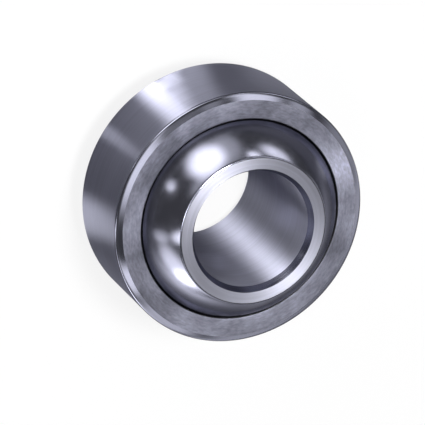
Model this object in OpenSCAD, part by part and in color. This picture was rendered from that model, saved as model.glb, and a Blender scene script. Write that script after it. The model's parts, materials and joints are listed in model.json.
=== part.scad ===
// Spherical plain bearing, metal on metal: a ball with a plain bore, cut off square at both ends,
// swivels inside an outer ring that is closed round it in one piece.
// All lengths are in millimetres. The bearing's axis is Z and the ball's centre is the origin.

/* [Outer ring] */
// Outside diameter of the outer ring, the housing's bore
ring_d = 26; // [25:0.5:34]
// Width of the outer ring along the axis
ring_w = 10; // [6:0.5:14]
// How far each lead-in chamfer cuts into the ring's end face
lead_in_radial = 0.7; // [0.3:0.1:1.2]
// How far each lead-in chamfer runs along the ring's outside
lead_in_axial = 0.4; // [0.2:0.1:2]
// How far the edge break of the seat cuts into the ring's end face
seat_edge_break = 0.15; // [0.05:0.05:0.5]

/* [Ball] */
// Diameter of the bore, for the pin or bolt
bore_d = 12; // [8:0.5:14]
// Width of the ball between its two end faces
ball_w = 17; // [12:0.5:19]
// Width of the flat end face, from the bore's chamfer out to the sphere
end_land = 1.2; // [0.6:0.1:2.2]
// How far the chamfer at each end of the bore cuts into the end face
bore_chamfer = 0.4; // [0.1:0.1:1]
// How far each chamfer runs down the bore
bore_chamfer_depth = 0.7; // [0.1:0.1:2]
// How far the edge break of the end face's rim cuts into that face
rim_break = 0.1; // [0.05:0.05:0.4]

/* [Fit] */
// Radial running clearance between the ball and its seat
seat_clearance = 0.04; // [0.02:0.01:0.1]

/* [Hidden] */
$fn = 128;

// The sphere passes through the outer edge of the end faces, so the ball's size follows from them.
end_face_r = bore_d / 2 + bore_chamfer + end_land;
ball_r = norm([end_face_r, ball_w / 2]);
seat_r = ball_r + seat_clearance;
// Radius of the opening that the seat leaves in the ring's end face
seat_mouth_r = sqrt(seat_r ^ 2 - (ring_w / 2) ^ 2);
// The rim break halves the turn from the flat face to the sphere.
rim_slope = asin(end_face_r / ball_r) / 2;
// How far a cutting cone or cylinder runs past the face that it cuts
overrun = 1;

// Repeats its children at both end faces of a body of width w, facing outwards.
module at_both_ends(w) {
    for (end = [0, 1])
        mirror([0, 0, end])
            translate([0, 0, w / 2])
                children();
}

// Cone that breaks the edge of a round mouth of radius mouth_r: it opens by chamfer over its depth.
module mouth_chamfer(mouth_r, chamfer, depth) {
    height = depth + overrun;
    translate([0, 0, -depth])
        cylinder(h = height, r1 = mouth_r, r2 = mouth_r + height * chamfer / depth);
}

// Turned blank of the outer ring, with a lead-in chamfer at both ends.
module ring_blank() {
    face_r = ring_d / 2 - lead_in_radial;
    side_z = ring_w / 2 - lead_in_axial;
    rotate_extrude()
        polygon([
            [0, -ring_w / 2],
            [face_r, -ring_w / 2],
            [ring_d / 2, -side_z],
            [ring_d / 2, side_z],
            [face_r, ring_w / 2],
            [0, ring_w / 2]
        ]);
}

// Drum that cuts the sphere off square at both ends and breaks the rims of the cuts.
module ball_ends() {
    flat_r = end_face_r - rim_break;
    side_z = ball_w / 2 - (ball_r - flat_r) * tan(rim_slope);
    rotate_extrude()
        polygon([
            [0, -ball_w / 2],
            [flat_r, -ball_w / 2],
            [ball_r, -side_z],
            [ball_r + overrun, -side_z],
            [ball_r + overrun, side_z],
            [ball_r, side_z],
            [flat_r, ball_w / 2],
            [0, ball_w / 2]
        ]);
}

// One-piece outer ring with a spherical seat.
module outer_ring() {
    color("#8b8c99")
        difference() {
            ring_blank();
            sphere(r = seat_r);
            at_both_ends(ring_w)
                mouth_chamfer(seat_mouth_r, seat_edge_break, seat_edge_break);
        }
}

// Ball with square ends and a plain bore along the axis.
module ball() {
    color("#a9a9b6")
        difference() {
            intersection() {
                sphere(r = ball_r);
                ball_ends();
            }
            cylinder(h = ball_w + 2 * overrun, d = bore_d, center = true);
            at_both_ends(ball_w)
                mouth_chamfer(bore_d / 2, bore_chamfer, bore_chamfer_depth);
        }
}

outer_ring();
ball();
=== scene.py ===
import json
import math

import bmesh
import bpy
from mathutils import Matrix, Vector


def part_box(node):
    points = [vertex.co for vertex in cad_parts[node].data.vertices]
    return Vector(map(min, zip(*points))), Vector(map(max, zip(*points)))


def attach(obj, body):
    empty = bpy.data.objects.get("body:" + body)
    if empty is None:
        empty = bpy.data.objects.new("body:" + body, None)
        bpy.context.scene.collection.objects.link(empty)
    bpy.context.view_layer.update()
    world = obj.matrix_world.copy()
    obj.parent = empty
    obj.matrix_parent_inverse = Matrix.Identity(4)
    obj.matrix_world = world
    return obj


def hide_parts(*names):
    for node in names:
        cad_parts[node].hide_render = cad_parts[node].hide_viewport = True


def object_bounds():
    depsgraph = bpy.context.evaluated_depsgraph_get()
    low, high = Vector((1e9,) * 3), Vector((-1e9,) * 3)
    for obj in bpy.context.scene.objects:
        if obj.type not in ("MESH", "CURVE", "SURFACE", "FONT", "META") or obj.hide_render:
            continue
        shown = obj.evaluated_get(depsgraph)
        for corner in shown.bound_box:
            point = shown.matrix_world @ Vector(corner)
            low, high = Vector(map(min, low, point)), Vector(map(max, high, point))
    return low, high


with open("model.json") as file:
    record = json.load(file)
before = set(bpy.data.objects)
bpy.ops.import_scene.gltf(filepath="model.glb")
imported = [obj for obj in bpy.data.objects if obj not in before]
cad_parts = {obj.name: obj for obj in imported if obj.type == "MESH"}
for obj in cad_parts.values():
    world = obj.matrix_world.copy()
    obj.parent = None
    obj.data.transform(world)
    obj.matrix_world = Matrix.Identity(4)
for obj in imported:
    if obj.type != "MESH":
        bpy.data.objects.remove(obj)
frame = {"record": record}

bl_info = {
    "name": "Spherical Plain Bearing",
    "version": (1, 0, 0),
    "blender": (4, 5, 0),
    "location": "View3D > Sidebar > Bearing",
    "description": "A steel spherical plain bearing with its finishes, lights and camera",
    "category": "Object",
}

MM = 0.001
CAD_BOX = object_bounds()

# Sizes that come from the frame
RING_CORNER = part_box("outer_ring")[1]
BALL_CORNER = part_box("ball")[1]
BORE_MOUNT = next(mount for mount in frame["record"]["mounts"] if mount["name"] == "bore")
BORE_RADIUS = BORE_MOUNT["dims"]["r_mm"] * MM


def linear(hex_colour):
    """Linear RGB of an sRGB hex colour."""
    channels = [int(hex_colour[place : place + 2], 16) / 255 for place in (1, 3, 5)]
    return tuple(c / 12.92 if c <= 0.04045 else ((c + 0.055) / 1.055) ** 2.4 for c in channels)


# Settings


class RingSettings(bpy.types.PropertyGroup):
    """Sizes and colours of the outer ring."""

    lead_in_radial: bpy.props.FloatProperty(
        name="Lead-in Radial",
        description="How far each lead-in chamfer cuts into the ring's end face",
        default=0.7 * MM,
        unit="LENGTH",
    )
    lead_in_axial: bpy.props.FloatProperty(
        name="Lead-in Axial",
        description="How far each lead-in chamfer runs along the ring's outside",
        default=0.4 * MM,
        unit="LENGTH",
    )
    seat_edge_break: bpy.props.FloatProperty(
        name="Seat Edge Break",
        description="How far the rounded edge at each mouth of the seat reaches",
        default=0.15 * MM,
        unit="LENGTH",
    )
    edge_round: bpy.props.FloatProperty(
        name="Edge Rounding",
        description="How far the tumbled rounding between each lead-in and the outside reaches",
        default=0.14 * MM,
        unit="LENGTH",
    )
    steel: bpy.props.FloatVectorProperty(
        name="Steel",
        description="Colour of the ground outside and the lead-ins",
        default=linear("#b4b5c8"),
        size=3,
        subtype="COLOR",
    )
    face_steel: bpy.props.FloatVectorProperty(
        name="Face Steel",
        description="Colour of the end faces",
        default=linear("#a7a8b9"),
        size=3,
        subtype="COLOR",
    )
    # The seat's dark colour is painted shade for the gap beside the ball.
    seat_shade_colour: bpy.props.FloatVectorProperty(
        name="Seat Colour",
        description="Colour of the seat, dark as painted shade in the gap beside the ball",
        default=linear("#48484c"),
        size=3,
        subtype="COLOR",
    )


class BallSettings(bpy.types.PropertyGroup):
    """Sizes and colours of the ball."""

    bore_chamfer: bpy.props.FloatProperty(
        name="Bore Chamfer",
        description="How far the chamfer at each end of the bore cuts into the end face",
        default=0.4 * MM,
        unit="LENGTH",
    )
    bore_chamfer_depth: bpy.props.FloatProperty(
        name="Bore Chamfer Depth",
        description="How far each chamfer runs down the bore",
        default=0.7 * MM,
        unit="LENGTH",
    )
    end_land: bpy.props.FloatProperty(
        name="End Land",
        description="Width of the flat end face, from the bore's chamfer out to the sphere",
        default=1.2 * MM,
        unit="LENGTH",
    )
    rim_break: bpy.props.FloatProperty(
        name="Rim Break",
        description="How far the rounded rim of the end face reaches",
        default=0.1 * MM,
        unit="LENGTH",
    )
    seat_clearance: bpy.props.FloatProperty(
        name="Seat Clearance",
        description="Radial running clearance between the ball and its seat",
        default=0.04 * MM,
        unit="LENGTH",
    )
    steel: bpy.props.FloatVectorProperty(
        name="Steel",
        description="Colour of the polished sphere and the bore's chamfers",
        default=linear("#b4b5c8"),
        size=3,
        subtype="COLOR",
    )
    face_steel: bpy.props.FloatVectorProperty(
        name="Face Steel",
        description="Colour of the end faces",
        default=linear("#d0d1e1"),
        size=3,
        subtype="COLOR",
    )
    bore_steel: bpy.props.FloatVectorProperty(
        name="Bore Steel",
        description="Colour of the honed bore",
        default=linear("#b9bacb"),
        size=3,
        subtype="COLOR",
    )


class StageSettings(bpy.types.PropertyGroup):
    """Camera, floor and light level."""

    camera_elevation: bpy.props.FloatProperty(
        name="Camera Elevation",
        description="Height of the line of sight above the ring's plane",
        default=math.radians(60.31),
        subtype="ANGLE",
    )
    camera_roll: bpy.props.FloatProperty(
        name="Camera Roll",
        description="Turn of the camera about its line of sight",
        default=math.radians(132.37),
        subtype="ANGLE",
    )
    camera_distance: bpy.props.FloatProperty(
        name="Camera Distance",
        description="Distance from the camera to the ball's centre",
        default=482 * MM,
        unit="LENGTH",
    )
    camera_aside: bpy.props.FloatVectorProperty(
        name="Camera Aside",
        description="How far the camera stands left of the ball's centre and below it, in its own view",
        default=(0.89 * MM, 1.02 * MM),
        size=2,
        unit="LENGTH",
    )
    lens: bpy.props.FloatProperty(
        name="Lens",
        description="Focal length in millimetres on a 36 mm sensor",
        default=412.7,
        unit="CAMERA",
    )
    floor_colour: bpy.props.FloatVectorProperty(
        name="Floor Colour",
        description="Colour of the paper under the bearing",
        default=(0.85, 0.85, 0.85),
        size=3,
        subtype="COLOR",
    )
    floor_glow: bpy.props.FloatProperty(
        name="Floor Glow",
        description="Share of the floor's white that it has even where the bearing shades it",
        default=0.85,
        subtype="FACTOR",
    )
    surround_level: bpy.props.FloatProperty(
        name="Surround Level",
        description="Brightness of the dim room beyond the lamps",
        default=0.07,
        subtype="FACTOR",
    )


# Mesh helpers

SPIN_STEPS = 256
# Segments of a rounded corner
ROUND_SEGMENTS = 4
# Straight runs of a section are cut to this length, so that smooth shading turns only at their ends.
RUN_LENGTH = 0.25 * MM
# Points that lie closer together than this are merged after the spin.
WELD_DISTANCE = 0.0005 * MM
# Corners that turn by more than this are left crisp, as they come off the lathe.
CRISP_ANGLE = math.radians(20)


def run_through(bm, start, corners):
    """Draws a wire in the XZ plane from a vertex through (radius, height) corners; returns its vertices."""
    made = []
    for radius, height in corners:
        corner = bm.verts.new((radius, 0, height))
        bm.edges.new((start, corner))
        made.append(corner)
        start = corner
    return made


def sweep_arc(bm, start, angle):
    """Sweeps a vertex round the Y axis through the origin; returns the vertex at the arc's far end."""
    steps = math.ceil(abs(angle) * start.co.length / RUN_LENGTH)
    swept = bmesh.ops.spin(bm, geom=[start], cent=(0, 0, 0), axis=(0, 1, 0), angle=angle, steps=steps)
    return next(item for item in swept["geom_last"] if isinstance(item, bmesh.types.BMVert))


def round_corners(bm, corners, reach):
    """Rounds corners of a section, each as far as it reaches along both sides."""
    bmesh.ops.bevel(
        bm,
        geom=corners,
        offset=reach,
        segments=ROUND_SEGMENTS,
        profile=0.5,
        affect="VERTICES",
        material=-1,
    )


def turned_piece(node, bm, finishes, finish_at):
    """Spins a section round Z into the piece that stands for a node, and gives each band its finish."""
    for edge in [edge for edge in bm.edges if edge.calc_length() > 2 * RUN_LENGTH]:
        bmesh.ops.subdivide_edges(bm, edges=[edge], cuts=int(edge.calc_length() / RUN_LENGTH))
    bmesh.ops.spin(
        bm,
        geom=bm.verts[:] + bm.edges[:],
        cent=(0, 0, 0),
        axis=(0, 0, 1),
        angle=math.tau,
        steps=SPIN_STEPS,
        use_merge=True,
    )
    bmesh.ops.remove_doubles(bm, verts=bm.verts[:], dist=WELD_DISTANCE)
    bmesh.ops.recalc_face_normals(bm, faces=bm.faces[:])
    for edge in bm.edges:
        edge.smooth = edge.calc_face_angle() < CRISP_ANGLE
    for face in bm.faces:
        face.smooth = True
        face.material_index = finish_at(face.calc_center_median().xy.length, abs(face.normal.z))
    name = node + "_steel"
    mesh = bpy.data.meshes.new(name)
    bm.to_mesh(mesh)
    bm.free()
    for finish in finishes:
        mesh.materials.append(finish)
    piece = bpy.data.objects.new(name, mesh)
    bpy.context.scene.collection.objects.link(piece)
    return piece


# Material helpers


def add_node(tree, kind, settings, links=None):
    """Adds a node, sets its properties or unlinked inputs, and links its inputs to other nodes' sockets."""
    node = tree.nodes.new(kind)
    for key, value in settings.items():
        if isinstance(key, int) or key in node.inputs:
            node.inputs[key].default_value = value
        else:
            setattr(node, key, value)
    for key, socket in (links or {}).items():
        tree.links.new(socket, node.inputs[key])
    return node


def new_material(name):
    """An empty node material with its output; returns the material, its tree and the output's socket."""
    material = bpy.data.materials.new(name)
    material.use_nodes = True
    tree = material.node_tree
    tree.nodes.clear()
    output = add_node(tree, "ShaderNodeOutputMaterial", {})
    return material, tree, output.inputs["Surface"]


def shaded(colour, factor=1.0):
    """RGBA of a linear colour, made darker or lighter by a factor."""
    return tuple(channel * factor for channel in colour) + (1.0,)


# Finishes

# Grinding lines are a few hundredths of a millimetre apart, and are drawn coarser than that to show.
LINE_SPACING = 0.22 * MM
LINE_LENGTH = 9 * MM
LINE_DEPTH = 0.0006 * MM
# A ring's end faces are ground crosswise as well, which breaks the lines up into a fine grain.
GRAIN_LENGTH = 0.6 * MM
# Stains from handling and storage run to several millimetres, and the seed picks where they lie.
STAIN_SIZE = 8 * MM
STAIN_SEED = 26.6
# Lapping leaves a haze with patches just under a millimetre across.
HAZE_SIZE = 0.8 * MM
# The lines' noise gets its scale from the stretched coordinates that it reads.
LINE_NOISE = {"Scale": 1.0, "Detail": 3.0, "Roughness": 0.6}
STAIN_NOISE = {
    "noise_dimensions": "4D",
    "Scale": 1 / STAIN_SIZE,
    "W": STAIN_SEED,
    "Detail": 3.0,
    "Roughness": 0.55,
}
HAZE_NOISE = {"Scale": 1 / HAZE_SIZE, "Detail": 4.0, "Roughness": 0.6}
# How far the roughness wanders to both sides of its mean
SHEEN_WANDER = 0.03
# At a slant steel mirrors only this share of what the plain Fresnel rule gives.
EDGE_TINT = (0.62, 0.62, 0.62, 1.0)
# Turn of the gloss, as a share of a full turn, that draws lamps out across the lines and not along them
ACROSS_LINES = 0.25
# The noise textures stay mostly between these values.
NOISE_LOW = 0.3
NOISE_HIGH = 0.7
# Painted shade on the ball, a dark band at the seat's mouth: how far it reaches to both sides of the mouth,
# how dark it is, and where along that reach it begins, is fully dark, and ends
SHADE_BAND_REACH = 1.2 * MM
SHADE_BAND_DARKNESS = 0.5
SHADE_BAND_STOPS = (0.15, 0.45, 0.68, 0.95)


def wander(middle, reach):
    """Settings of a Map Range that turns a noise into a value that wanders to both sides of a middle."""
    return {
        "From Min": NOISE_LOW,
        "From Max": NOISE_HIGH,
        "To Min": middle - reach,
        "To Max": middle + reach,
    }


def ground_steel(name, colour, roughness, drawn_out, flat, mottle=0.08, stain=0.06, line=LINE_LENGTH):
    """Bearing steel ground on a turning work head: fine lines round the axis and faint stains.

    Drawn out says how far the lines stretch the gloss of a lamp across them. On a flat face the lines are
    circles one inside the other, elsewhere they follow each other along the axis. Mottle and stain say
    how far the lines and the stains lighten or darken the steel, and line is how long a line runs.
    """
    material, tree, surface = new_material(name)
    place = add_node(tree, "ShaderNodeTexCoord", {}).outputs["Object"]
    parts = add_node(tree, "ShaderNodeSeparateXYZ", {}, {0: place}).outputs
    across = parts["Z"]
    if flat:
        plan = add_node(tree, "ShaderNodeVectorMath", {"operation": "MULTIPLY", 1: (1, 1, 0)}, {0: place})
        from_axis = add_node(tree, "ShaderNodeVectorMath", {"operation": "LENGTH"}, {0: plan.outputs[0]})
        across = from_axis.outputs["Value"]
    unrolled = add_node(tree, "ShaderNodeCombineXYZ", {}, {"X": parts["X"], "Y": parts["Y"], "Z": across})
    stretched = add_node(
        tree,
        "ShaderNodeVectorMath",
        {"operation": "MULTIPLY", 1: (1 / line, 1 / line, 1 / LINE_SPACING)},
        {0: unrolled.outputs[0]},
    )
    lines = add_node(tree, "ShaderNodeTexNoise", LINE_NOISE, {"Vector": stretched.outputs[0]}).outputs[0]
    stains = add_node(tree, "ShaderNodeTexNoise", STAIN_NOISE, {"Vector": place}).outputs[0]
    lined = add_node(tree, "ShaderNodeMapRange", wander(1, mottle), {"Value": lines})
    stained = add_node(tree, "ShaderNodeMapRange", wander(1, stain), {"Value": stains})
    shade = add_node(
        tree,
        "ShaderNodeMath",
        {"operation": "MULTIPLY"},
        {0: lined.outputs[0], 1: stained.outputs[0]},
    )
    tone = add_node(
        tree,
        "ShaderNodeVectorMath",
        {"operation": "SCALE", "Vector": tuple(colour)},
        {"Scale": shade.outputs[0]},
    )
    sheen = add_node(tree, "ShaderNodeMapRange", wander(roughness, SHEEN_WANDER), {"Value": lines})
    relief = add_node(tree, "ShaderNodeBump", {"Strength": 1.0, "Distance": LINE_DEPTH}, {"Height": lines})
    tangent = add_node(tree, "ShaderNodeTangent", {"direction_type": "RADIAL", "axis": "Z"})
    shader = add_node(
        tree,
        "ShaderNodeBsdfPrincipled",
        {
            "Metallic": 1.0,
            "Specular Tint": EDGE_TINT,
            "Anisotropic": drawn_out,
            "Anisotropic Rotation": ACROSS_LINES,
        },
        {
            "Base Color": tone.outputs[0],
            "Roughness": sheen.outputs[0],
            "Normal": relief.outputs["Normal"],
            "Tangent": tangent.outputs["Tangent"],
        },
    )
    tree.links.new(shader.outputs[0], surface)
    return material


def lapped_steel(name, colour, roughness, shade_band_height=None):
    """Bearing steel lapped to a soft mirror with a faint haze.

    With a height for the band, the steel is painted dark at that distance from the ball's middle plane, as
    painted shade where the ball goes into the mouth of its seat.
    """
    material, tree, surface = new_material(name)
    place = add_node(tree, "ShaderNodeTexCoord", {}).outputs["Object"]
    haze = add_node(tree, "ShaderNodeTexNoise", HAZE_NOISE, {"Vector": place}).outputs[0]
    sheen = add_node(tree, "ShaderNodeMapRange", wander(roughness, SHEEN_WANDER), {"Value": haze})
    shader = add_node(
        tree,
        "ShaderNodeBsdfPrincipled",
        {"Metallic": 1.0, "Base Color": shaded(colour), "Specular Tint": EDGE_TINT},
        {"Roughness": sheen.outputs[0]},
    )
    tree.links.new(shader.outputs[0], surface)
    if shade_band_height:
        # Painted shade: the steel darkens in a band round the ball at the seat's mouth
        height = add_node(tree, "ShaderNodeSeparateXYZ", {}, {0: place}).outputs["Z"]
        from_middle = add_node(tree, "ShaderNodeMath", {"operation": "ABSOLUTE"}, {0: height})
        along = add_node(
            tree,
            "ShaderNodeMapRange",
            {"From Min": shade_band_height - SHADE_BAND_REACH, "From Max": shade_band_height + SHADE_BAND_REACH},
            {"Value": from_middle.outputs[0]},
        )
        tone = add_node(tree, "ShaderNodeValToRGB", {}, {"Fac": along.outputs[0]})
        ramp = tone.color_ramp
        ramp.interpolation = "EASE"
        begins, dark_from, dark_to, ends = SHADE_BAND_STOPS
        for stop, position in zip(ramp.elements, (begins, ends)):
            stop.position = position
            stop.color = shaded(colour)
        for position in (dark_from, dark_to):
            ramp.elements.new(position).color = shaded(colour, SHADE_BAND_DARKNESS)
        tree.links.new(tone.outputs["Color"], shader.inputs["Base Color"])
    return material


# Pieces

# A face counts as flat when its normal leans from the axis by less than about 2.5 degrees.
FLAT = 0.999
# The middle of a facet lies inside the true cylinder by less than this.
ON_CYLINDER = 0.001 * MM
# Places of the finishes in each piece's list
RING_OUTSIDE, RING_END_FACE, RING_LEAD_IN, RING_SEAT = range(4)
BALL_SPHERE, BALL_END_FACE, BALL_BORE, BALL_CHAMFER = range(4)


def sphere_radius(ball):
    """The sphere passes through the outer edge of the ball's end faces."""
    end_face = BORE_RADIUS + ball.bore_chamfer + ball.end_land
    return math.hypot(end_face, BALL_CORNER.z)


class BEARING_OT_outer_ring(bpy.types.Operator):
    """Builds the outer ring: a ground outside with a lead-in at both ends round a spherical seat"""

    bl_idname = "bearing.outer_ring"
    bl_label = "Outer Ring"

    def execute(self, context):
        ring = context.scene.bearing_ring
        ball = context.scene.bearing_ball
        outside = RING_CORNER.x
        half_width = RING_CORNER.z
        seat = sphere_radius(ball) + ball.seat_clearance
        mouth = math.sqrt(seat**2 - half_width**2)
        land = outside - ring.lead_in_radial
        shoulder = half_width - ring.lead_in_axial

        bm = bmesh.new()
        lower_mouth = bm.verts.new((mouth, 0, -half_width))
        upper_mouth = sweep_arc(bm, lower_mouth, -2 * math.asin(half_width / seat))
        corners = run_through(
            bm,
            upper_mouth,
            [(land, half_width), (outside, shoulder), (outside, -shoulder), (land, -half_width)],
        )
        bm.edges.new((corners[-1], lower_mouth))
        round_corners(bm, [lower_mouth, upper_mouth], ring.seat_edge_break)
        round_corners(bm, corners[1:3], ring.edge_round)

        def finish_at(radius, upright):
            if radius > outside - ON_CYLINDER:
                return RING_OUTSIDE
            if upright > FLAT:
                return RING_END_FACE
            return RING_LEAD_IN if radius > land else RING_SEAT

        finishes = [
            # Satin, with lamps drawn out into bands along the axis
            ground_steel(
                "ground bearing steel, ring outside", ring.steel, roughness=0.36, drawn_out=0.8, flat=False
            ),
            # Dull grey with a fine grain and with paler and darker stains
            ground_steel(
                "ground bearing steel, ring end faces",
                ring.face_steel,
                roughness=0.5,
                drawn_out=0.0,
                flat=True,
                mottle=0.22,
                stain=0.7,
                line=GRAIN_LENGTH,
            ),
            # Bright, with short light and dark stretches
            ground_steel(
                "ground bearing steel, lead-in", ring.steel, roughness=0.13, drawn_out=0.0, flat=False
            ),
            # Dark and matt: painted shade, so that the gap beside the ball reads as a dark line
            lapped_steel("bearing steel darkened as gap shade, seat", ring.seat_shade_colour, roughness=0.45),
        ]
        piece = turned_piece("outer_ring", bm, finishes, finish_at)
        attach(piece, "outer_ring")
        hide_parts("outer_ring")
        return {"FINISHED"}


class BEARING_OT_ball(bpy.types.Operator):
    """Builds the ball: a polished sphere cut off square at both ends, with a honed bore"""

    bl_idname = "bearing.ball"
    bl_label = "Ball"

    def execute(self, context):
        ball = context.scene.bearing_ball
        half_width = BALL_CORNER.z
        sphere = sphere_radius(ball)
        chamfer_edge = BORE_RADIUS + ball.bore_chamfer
        end_face = chamfer_edge + ball.end_land
        bore_end = half_width - ball.bore_chamfer_depth

        bm = bmesh.new()
        lower_rim = bm.verts.new((end_face, 0, -half_width))
        upper_rim = sweep_arc(bm, lower_rim, -2 * math.asin(half_width / sphere))
        corners = run_through(
            bm,
            upper_rim,
            [
                (chamfer_edge, half_width),
                (BORE_RADIUS, bore_end),
                (BORE_RADIUS, -bore_end),
                (chamfer_edge, -half_width),
            ],
        )
        bm.edges.new((corners[-1], lower_rim))
        round_corners(bm, [lower_rim, upper_rim], ball.rim_break)

        def finish_at(radius, upright):
            if upright > FLAT:
                return BALL_END_FACE
            if radius < BORE_RADIUS + ON_CYLINDER:
                return BALL_BORE
            return BALL_CHAMFER if radius < chamfer_edge else BALL_SPHERE

        finishes = [
            # A soft mirror, with a painted shade band where it meets the ring
            lapped_steel(
                "lapped bearing steel, ball", ball.steel, roughness=0.17, shade_band_height=RING_CORNER.z
            ),
            # Pale satin, with a bow of light that turns with the lines
            ground_steel(
                "ground bearing steel, ball end faces",
                ball.face_steel,
                roughness=0.5,
                drawn_out=0.6,
                flat=True,
            ),
            # Satin, with lamps drawn out into bright stripes along the bore
            ground_steel(
                "honed bearing steel, bore", ball.bore_steel, roughness=0.5, drawn_out=1.0, flat=False
            ),
            # Bright, and mostly dark from where it faces
            ground_steel(
                "ground bearing steel, bore chamfers", ball.steel, roughness=0.15, drawn_out=0.0, flat=False
            ),
        ]
        piece = turned_piece("ball", bm, finishes, finish_at)
        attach(piece, "ball")
        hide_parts("ball")
        return {"FINISHED"}


# Stage

# Side of the floor, in metres
FLOOR_SIZE = 6.0
# A dark card with light panels on it lies on the paper, as is done for polished metal in a studio. Only
# mirrored rays meet the card, and the camera sees neither it nor the panels: they give the metal its dark
# and light bands, where it would otherwise mirror white paper, and the picture shows the bare paper.
# Radius of the card, in metres
CARD_RADIUS = 2.0
# Sides of the round sheets
SHEET_SIDES = 64
CARD_COLOUR = "#58585c"
# The card and what lies on it are stacked this far apart.
SHEET_GAP = 0.05 * MM
# Inner and outer radius of a glowing ring with a painted shadow under the bearing, and its glow at both
SHADOW_RING_RADII = (7.5 * MM, 12.5 * MM)
SHADOW_RING_GLOW = (0.06, 0.55)
# Panels on the card: name, azimuth in degrees, start, end and width in millimetres, and level
FLOOR_PANELS = [
    ("main", -23, 9, 27, 9, 3.4),
    ("right", -40, 9, 27, 9, 0.62),
    ("thin", 13, 10, 26, 3, 0.62),
    ("left", 59, 9, 27, 9, 1.1),
    ("far right", -88, 9, 25, 16, 0.26),
    ("left glow", 112, 40, 330, 220, 0.88),
    ("rear glow", 180, 22, 140, 190, 0.25),
    ("front glow", 0, 30, 130, 170, 0.55),
    ("main far", -23, 26, 80, 16, 1.6),
    ("left far", 62, 26, 80, 14, 0.8),
    ("rear main", 158, 9, 27, 9, 2.4),
    ("rear main far", 158, 26, 80, 16, 0.08),
    ("rear side", -128, 9, 27, 9, 0.9),
    ("rear side far", -128, 26, 80, 14, 0.3),
]

# The camera's sensor in millimetres, and the nearest and farthest that it sees, in metres
SENSOR_WIDTH = 36
CAMERA_REACH = (0.01, 10.0)

LAMP_DISTANCE = 350 * MM
# Share of a lamp's half width over which it is evenly bright; from there it fades to its edge.
LAMP_CORE = 0.35
# Softboxes: name, azimuth, elevation, width and height in degrees seen from the bearing, and level,
# where 1 would show as white. Azimuth 0 is the camera's side and 90 is along +X.
SOFTBOXES = [
    ("key", -19, 19, 48, 44, 2.4),
    ("key side", -42, 16, 36, 44, 0.5),
    ("top", -34, 75, 20, 18, 70.0),
    ("top left", 60, 66, 19, 19, 6.5),
    ("small fill", 20, 9, 12, 13, 1.9),
    ("left fill", 100, 8, 70, 30, 1.5),
    ("left core", 106, 7, 26, 18, 2.9),
    ("left strip", 66, 28, 16, 26, 2.2),
    ("left low", 66, 7, 14, 24, 0.8),
    ("left high", 129, 22, 44, 28, 0.78),
    ("left upper", 106, 36, 34, 15, 1.45),
    ("right strip low", -89, 15, 40, 16, 1.6),
    ("right strip high", -67, 24, 18, 9, 2.4),
    ("right high", -89, 44, 52, 18, 1.35),
    ("right rear", -110, 34, 20, 14, 0.6),
    ("right brow", -56, 54, 16, 12, 0.35),
    ("front brow", 3, 33, 34, 14, 0.45),
    ("front high", 27, 57.5, 56, 16, 1.35),
    ("rear low", 180, 7, 120, 20, 0.54),
    ("rear right", -136, 20, 44, 26, 0.32),
    ("rear overhead", 180, 60, 44, 44, 0.24),
]


def direction(azimuth, elevation):
    """Unit vector from the bearing towards an azimuth and elevation in degrees."""
    turn = math.radians(azimuth)
    rise = math.radians(elevation)
    return Vector((math.sin(turn) * math.cos(rise), -math.cos(turn) * math.cos(rise), math.sin(rise)))


def soft_lamp(name, width, height, level, place):
    """Makes a lamp behind a diffuser: even in the middle and fading out towards its edge."""
    lamp = bpy.data.lights.new(name, "AREA")
    lamp.shape = "RECTANGLE"
    lamp.size = width
    lamp.size_y = height
    # A lamp's power over pi times its area is the brightness that it shows.
    lamp.energy = level * math.pi * width * height
    lamp.use_nodes = True
    tree = lamp.node_tree
    across = add_node(tree, "ShaderNodeNewGeometry", {}).outputs["Parametric"]
    centred = add_node(
        tree,
        "ShaderNodeVectorMath",
        {"operation": "MULTIPLY_ADD", 1: (2, 2, 0), 2: (-1, -1, 0)},
        {0: across},
    )
    reach = add_node(tree, "ShaderNodeVectorMath", {"operation": "LENGTH"}, {0: centred.outputs[0]})
    fade = add_node(
        tree,
        "ShaderNodeMapRange",
        {"interpolation_type": "SMOOTHSTEP", "From Min": 1.0, "From Max": LAMP_CORE},
        {"Value": reach.outputs["Value"]},
    )
    tree.links.new(fade.outputs[0], tree.nodes["Emission"].inputs["Strength"])
    holder = bpy.data.objects.new(name.replace(" ", "_"), lamp)
    holder.matrix_world = place
    holder.visible_camera = False
    bpy.context.scene.collection.objects.link(holder)


def hang_softbox(name, azimuth, elevation, width, height, level):
    """Hangs a softbox that faces the bearing."""
    wide = 2 * LAMP_DISTANCE * math.tan(math.radians(width / 2))
    high = 2 * LAMP_DISTANCE * math.tan(math.radians(height / 2))
    away = direction(azimuth, elevation)
    turn = away.to_track_quat("Z", "Y").to_matrix().to_4x4()
    soft_lamp("softbox " + name, wide, high, level, Matrix.Translation(away * LAMP_DISTANCE) @ turn)


def lay_panel(name, azimuth, start, end, width, level, floor_height):
    """Lays a light panel on the card along an azimuth, from one radius to another, facing up."""
    place = (
        Matrix.Rotation(math.radians(azimuth), 4, "Z")
        @ Matrix.Translation((0, -(start + end) / 2 * MM, floor_height + 2 * SHEET_GAP))
        @ Matrix.Rotation(math.pi, 4, "Y")
    )
    soft_lamp("panel " + name, width * MM, (end - start) * MM, level, place)


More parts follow.
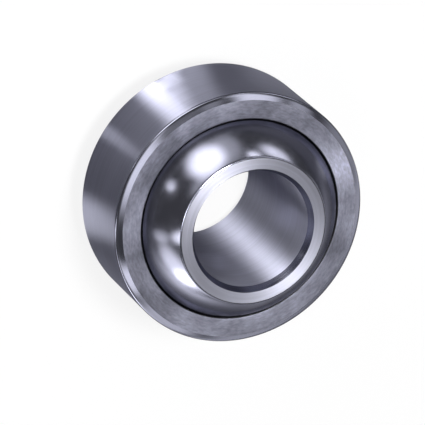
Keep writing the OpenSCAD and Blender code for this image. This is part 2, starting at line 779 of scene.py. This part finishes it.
def white_paper(stage):
    """White paper sweep: plain white to the eye and in metal, with a soft shadow under the bearing."""
    material, tree, surface = new_material("white paper")
    paper = add_node(tree, "ShaderNodeBsdfDiffuse", {"Color": shaded(stage.floor_colour)})
    glow = add_node(tree, "ShaderNodeEmission", {"Strength": 1.0})
    white = add_node(
        tree, "ShaderNodeMixShader", {0: stage.floor_glow}, {1: paper.outputs[0], 2: glow.outputs[0]}
    )
    path = add_node(tree, "ShaderNodeLightPath", {}).outputs
    seen = path["Is Camera Ray"]
    for ray in ("Is Glossy Ray", "Is Transmission Ray"):
        seen = add_node(tree, "ShaderNodeMath", {"operation": "MAXIMUM"}, {0: seen, 1: path[ray]}).outputs[0]
    choice = add_node(tree, "ShaderNodeMixShader", {}, {0: seen, 1: paper.outputs[0], 2: white.outputs[0]})
    tree.links.new(choice.outputs[0], surface)
    return material


def dark_card():
    """Matt dark card: it gives polished metal dark bands and edges."""
    material, tree, surface = new_material("matt dark card")
    card = add_node(tree, "ShaderNodeBsdfDiffuse", {"Color": shaded(linear(CARD_COLOUR))})
    tree.links.new(card.outputs[0], surface)
    return material


def painted_shadow_glow():
    """Glowing paper with a painted shadow of the bearing: dark beside the ball and paler outwards."""
    material, tree, surface = new_material("glowing paper with painted shadow")
    place = add_node(tree, "ShaderNodeTexCoord", {}).outputs["Object"]
    plan = add_node(tree, "ShaderNodeVectorMath", {"operation": "MULTIPLY", 1: (1, 1, 0)}, {0: place})
    from_axis = add_node(tree, "ShaderNodeVectorMath", {"operation": "LENGTH"}, {0: plan.outputs[0]})
    inner, outer = SHADOW_RING_RADII
    least, most = SHADOW_RING_GLOW
    level = add_node(
        tree,
        "ShaderNodeMapRange",
        {"From Min": inner, "From Max": outer, "To Min": least, "To Max": most},
        {"Value": from_axis.outputs["Value"]},
    )
    glow = add_node(tree, "ShaderNodeEmission", {}, {"Strength": level.outputs[0]})
    tree.links.new(glow.outputs[0], surface)
    return material


def stage_sheet(name, bm, material, in_metal_only):
    """Makes a mesh into a sheet of the stage, which may be met by mirrored rays alone."""
    mesh = bpy.data.meshes.new(name)
    bm.to_mesh(mesh)
    bm.free()
    mesh.materials.append(material)
    sheet = bpy.data.objects.new(name, mesh)
    bpy.context.scene.collection.objects.link(sheet)
    if in_metal_only:
        sheet.visible_camera = False
        sheet.visible_diffuse = False
        sheet.visible_shadow = False
        sheet.visible_transmission = False


class BEARING_OT_stage(bpy.types.Operator):
    """Lays the floor, card and light panels, hangs the softboxes and stands the camera"""

    bl_idname = "bearing.stage"
    bl_label = "Stage"

    def execute(self, context):
        stage = context.scene.bearing_stage
        floor_height = CAD_BOX[0].z

        bm = bmesh.new()
        place = Matrix.Translation((0, 0, floor_height))
        bmesh.ops.create_grid(bm, x_segments=1, y_segments=1, size=FLOOR_SIZE / 2, matrix=place)
        stage_sheet("floor", bm, white_paper(stage), in_metal_only=False)

        bm = bmesh.new()
        place = Matrix.Translation((0, 0, floor_height + SHEET_GAP))
        bmesh.ops.create_circle(bm, cap_ends=True, segments=SHEET_SIDES, radius=CARD_RADIUS, matrix=place)
        stage_sheet("dark_card", bm, dark_card(), in_metal_only=True)

        # A glowing ring with a painted shadow, met only by mirrored rays
        bm = bmesh.new()
        place = Matrix.Translation((0, 0, floor_height + 2 * SHEET_GAP))
        for radius in SHADOW_RING_RADII:
            bmesh.ops.create_circle(bm, segments=SHEET_SIDES, radius=radius, matrix=place)
        bmesh.ops.bridge_loops(bm, edges=bm.edges[:])
        stage_sheet("painted_shadow_ring", bm, painted_shadow_glow(), in_metal_only=True)

        for panel in FLOOR_PANELS:
            lay_panel(*panel, floor_height)
        for softbox in SOFTBOXES:
            hang_softbox(*softbox)

        world = bpy.data.worlds.new("dim room")
        context.scene.world = world
        world.use_nodes = True
        background = world.node_tree.nodes["Background"]
        background.inputs["Color"].default_value = (1, 1, 1, 1)
        background.inputs["Strength"].default_value = stage.surround_level

        context.scene.view_settings.view_transform = "Standard"
        self.stand_camera(context, stage)
        return {"FINISHED"}

    def stand_camera(self, context, stage):
        """Stands the camera where the photograph was taken from."""
        back = direction(0, math.degrees(stage.camera_elevation))
        level_right = Vector((1, 0, 0))
        level_up = back.cross(level_right)
        right = level_right * math.cos(stage.camera_roll) + level_up * math.sin(stage.camera_roll)
        up = back.cross(right)
        place = back * stage.camera_distance - right * stage.camera_aside[0] - up * stage.camera_aside[1]
        lens = bpy.data.cameras.new("camera")
        lens.lens = stage.lens
        lens.sensor_width = SENSOR_WIDTH
        lens.clip_start, lens.clip_end = CAMERA_REACH
        camera = bpy.data.objects.new("camera", lens)
        turn = Matrix((right, up, back)).transposed().to_4x4()
        camera.matrix_world = Matrix.Translation(place) @ turn
        context.scene.collection.objects.link(camera)
        context.scene.camera = camera


class BEARING_PT_panel(bpy.types.Panel):
    """Sidebar panel that lists the bearing's operators"""

    bl_idname = "BEARING_PT_panel"
    bl_label = "Spherical Plain Bearing"
    bl_space_type = "VIEW_3D"
    bl_region_type = "UI"
    bl_category = "Bearing"

    def draw(self, context):
        for operator in OPERATORS:
            self.layout.operator(operator.bl_idname)


OPERATORS = (BEARING_OT_outer_ring, BEARING_OT_ball, BEARING_OT_stage)
CLASSES = (RingSettings, BallSettings, StageSettings) + OPERATORS + (BEARING_PT_panel,)


def register():
    """Registers the classes and gives the scene the settings."""
    for cls in CLASSES:
        bpy.utils.register_class(cls)
    bpy.types.Scene.bearing_ring = bpy.props.PointerProperty(type=RingSettings)
    bpy.types.Scene.bearing_ball = bpy.props.PointerProperty(type=BallSettings)
    bpy.types.Scene.bearing_stage = bpy.props.PointerProperty(type=StageSettings)


def unregister():
    """Takes the settings and the classes away again."""
    del bpy.types.Scene.bearing_stage
    del bpy.types.Scene.bearing_ball
    del bpy.types.Scene.bearing_ring
    for cls in reversed(CLASSES):
        bpy.utils.unregister_class(cls)


def main():
    register()
    bpy.ops.bearing.outer_ring()
    bpy.ops.bearing.ball()
    bpy.ops.bearing.stage()


if __name__ == "__main__":
    main()
